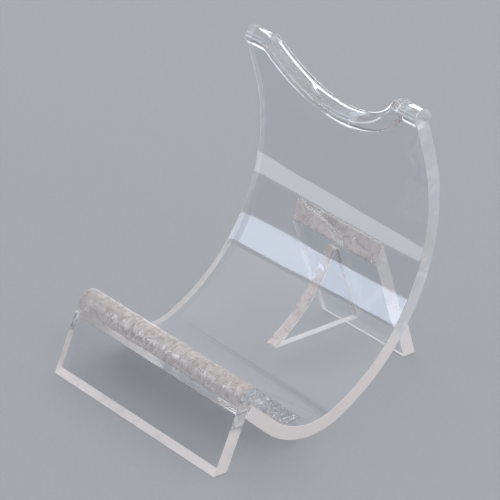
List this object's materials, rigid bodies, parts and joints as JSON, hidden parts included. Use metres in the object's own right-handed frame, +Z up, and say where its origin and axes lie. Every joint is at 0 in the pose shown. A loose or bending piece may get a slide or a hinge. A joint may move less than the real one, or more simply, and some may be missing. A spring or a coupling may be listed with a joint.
{
  "type": "phone stand",
  "caption": "Clear acrylic desk stand: a long curved cradle sheet with a scooped, beaded crest, held by a folded front bracket and a leaning rear leg with a rib.",
  "frame": {"origin": "on the table, under the middle of the stand's box", "axes": "+X across the stand, +Y towards its back, so the phone faces -Y, +Z up"},
  "size_m": [0.08, 0.096, 0.0965],
  "materials": {
    "cradle_acrylic": "clear polished acrylic, polished edges",
    "bracket_acrylic": "clear polished acrylic, matt sawn edges",
    "leg_acrylic": "clear polished acrylic, matt sawn edges",
    "rib_acrylic": "clear polished acrylic, matt sawn edges"
  },
  "bodies": {
    "root": {"cradle_sheet": "cradle_acrylic", "front_bracket": "bracket_acrylic", "rear_leg": "leg_acrylic", "centre_rib": "rib_acrylic"}
  },
  "joints": []
}
